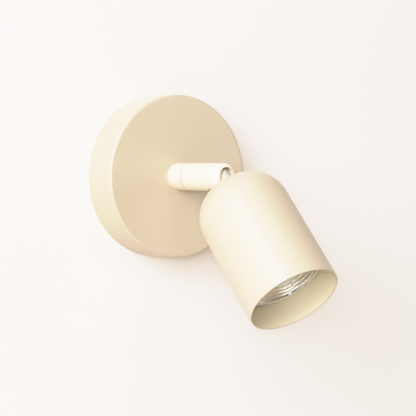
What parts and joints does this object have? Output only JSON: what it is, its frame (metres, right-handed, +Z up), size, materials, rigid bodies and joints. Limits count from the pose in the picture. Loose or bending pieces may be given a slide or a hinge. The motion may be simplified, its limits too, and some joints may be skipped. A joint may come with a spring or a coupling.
{
  "type": "wall reading lamp",
  "caption": "Wall reading lamp: round rose on a hidden bracket, short swivelling arm and a bullet shade on a tilting knuckle, with a twist-in reflector lamp.",
  "frame": {"origin": "on the wall plane, midway between the bracket's two fixing slots, on the axis of the rose and arm", "axes": "the lamp stands out from the wall along -Y, +Z is up, +X is to the right for someone facing the wall"},
  "size_m": [0.1, 0.1531, 0.1372],
  "materials": {
    "cream_paint": "satin cream powder coat",
    "zinc_steel": "bright zinc plate",
    "dark_steel": "painted set screws",
    "brass": "plain brass",
    "block_plastic": "moulded nylon",
    "nylon": "plain",
    "ceramic": "unglazed steatite",
    "mirror_glass": "faceted, aluminised inside",
    "clear_glass": "clear",
    "live_sleeve": "brown sleeve",
    "neutral_sleeve": "blue sleeve",
    "earth_sleeve": "green and yellow sleeve"
  },
  "bodies": {
    "base": {"wall_bracket": "zinc_steel", "terminal_block": "block_plastic", "terminal_barrels": "brass", "terminal_screws": "brass", "block_screws": "zinc_steel", "earth_tag": "brass", "earth_screw": "zinc_steel", "rose_cover": "cream_paint", "cover_screws": "dark_steel", "base_nipple": "zinc_steel", "lock_washer": "zinc_steel", "nipple_locknut": "zinc_steel", "swivel_collar": "cream_paint", "stop_pin": "zinc_steel", "swivel_bolt": "zinc_steel", "thrust_washer": "nylon", "rose_lead_live": "live_sleeve", "rose_lead_neutral": "neutral_sleeve", "rose_lead_earth": "earth_sleeve"},
    "arm": {"arm_barrel": "cream_paint", "swivel_spring": "zinc_steel", "pivot_screw": "zinc_steel", "arm_lead_live": "live_sleeve", "arm_lead_neutral": "neutral_sleeve"},
    "head": {"tilt_stem": "cream_paint", "friction_washers": "nylon", "shade": "cream_paint", "stem_spacer": "zinc_steel", "holder_strap": "zinc_steel", "stem_washer": "zinc_steel", "stem_nut": "zinc_steel", "lampholder_body": "ceramic", "lampholder_face": "ceramic", "lamp_contacts": "brass", "holder_screws": "zinc_steel", "head_lead_live": "live_sleeve", "head_lead_neutral": "neutral_sleeve"},
    "lamp": {"lamp_pins": "zinc_steel", "lamp_base": "ceramic", "lamp_reflector": "mirror_glass", "lamp_burner": "clear_glass", "lamp_glass": "clear_glass"}
  },
  "joints": [
    {"name": "arm_swivel", "type": "hinge", "parent": "base", "child": "arm", "pos_m": [0, -0.0371, 0], "axis": [0, -1, 0], "range_deg": [-165, 165]},
    {"name": "head_tilt", "type": "hinge", "parent": "arm", "child": "head", "pos_m": [0, -0.0695, 0.0014], "axis": [1, 0, 0], "range_deg": [-48, 42]},
    {"name": "lamp_twist", "type": "hinge", "parent": "head", "child": "lamp", "pos_m": [0, -0.0695, 0.0014], "axis": [0, -0.6691, -0.7431], "range_deg": [0, 42]}
  ]
}
